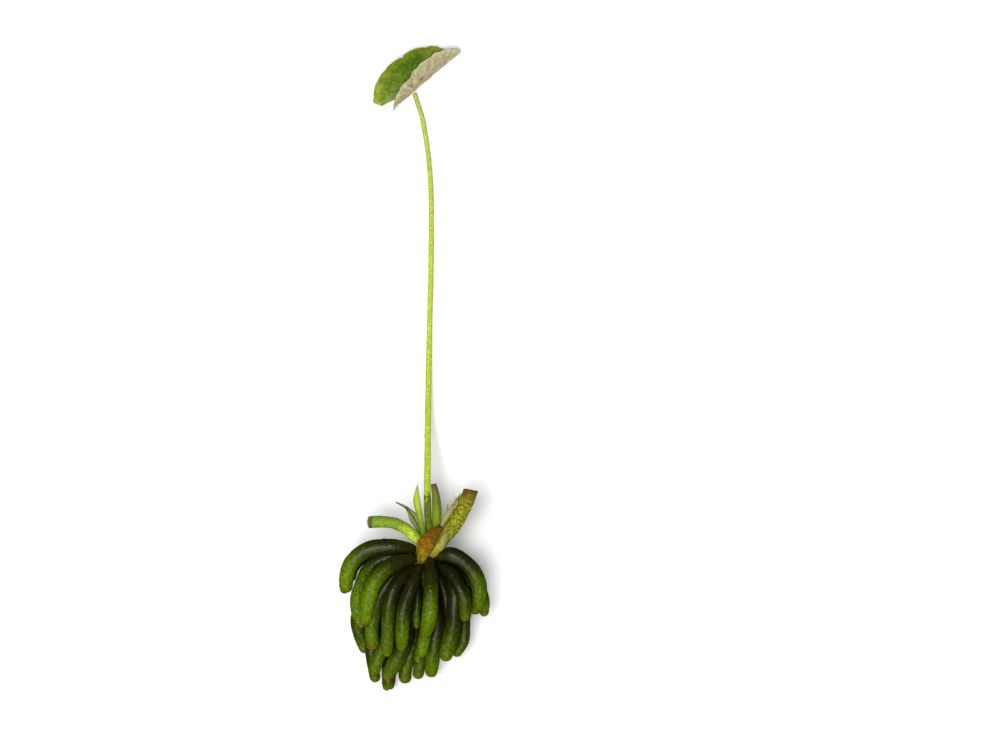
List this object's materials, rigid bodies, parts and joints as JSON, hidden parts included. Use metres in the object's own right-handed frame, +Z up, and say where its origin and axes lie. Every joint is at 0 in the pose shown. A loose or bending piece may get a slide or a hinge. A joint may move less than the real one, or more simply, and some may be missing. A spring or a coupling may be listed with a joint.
{
  "type": "aquarium banana plant",
  "caption": "Water plant lying down: banana-shaped tubers hang from a short crown with cut stalks, a bud and a folded round leaf on a long thin stalk.",
  "frame": {"origin": "middle of the plant's outline seen from above, on the surface it lies on", "axes": "+Y along the leaf stalk from the tubers to the leaf, +Z up from the surface, +X to the right in the view from above"},
  "size_m": [0.0406, 0.1742, 0.0274],
  "materials": {
    "tuber": "wet, waxy, finely bumpy plant skin, dark olive by the crown and green towards the tip",
    "crown": "damp fibrous crown, yellow to rust brown",
    "leaf_stalk": "moist yellow-green stalk skin, finely pitted",
    "cut_stalk": "moist green stalk skin with a tan cut end",
    "olive_stalk": "olive stalk skin with brown specks",
    "dried_leaf": "shrivelled grey-green leaf",
    "old_sheath": "dead orange-brown fibrous skin",
    "torn_sheath": "thin pale torn skin",
    "leaf": "satin leaf blade, green above and pinkish beige below"
  },
  "bodies": {
    "root": {"crown": "crown", "leaf_stalk": "leaf_stalk", "left_cut_stalk": "cut_stalk", "middle_cut_stalk": "cut_stalk", "right_cut_stalk": "olive_stalk", "leaf_bud": "leaf_stalk", "dried_leaf": "dried_leaf", "old_sheath": "old_sheath", "torn_sheath": "torn_sheath", "leaf": "leaf", "tuber_01": "tuber", "tuber_02": "tuber", "tuber_03": "tuber", "tuber_04": "tuber", "tuber_05": "tuber", "tuber_06": "tuber", "tuber_07": "tuber", "tuber_08": "tuber", "tuber_09": "tuber", "tuber_10": "tuber", "tuber_11": "tuber", "tuber_12": "tuber", "tuber_13": "tuber", "tuber_14": "tuber", "tuber_15": "tuber", "tuber_16": "tuber", "tuber_17": "tuber", "tuber_18": "tuber", "tuber_19": "tuber", "tuber_20": "tuber", "tuber_21": "tuber", "tuber_22": "tuber", "tuber_23": "tuber", "tuber_24": "tuber", "tuber_25": "tuber", "tuber_26": "tuber", "tuber_27": "tuber", "tuber_28": "tuber", "tuber_29": "tuber", "tuber_30": "tuber", "tuber_31": "tuber", "tuber_32": "tuber", "tuber_33": "tuber", "tuber_34": "tuber", "tuber_35": "tuber", "tuber_36": "tuber", "tuber_37": "tuber", "tuber_38": "tuber", "tuber_39": "tuber"}
  },
  "joints": []
}
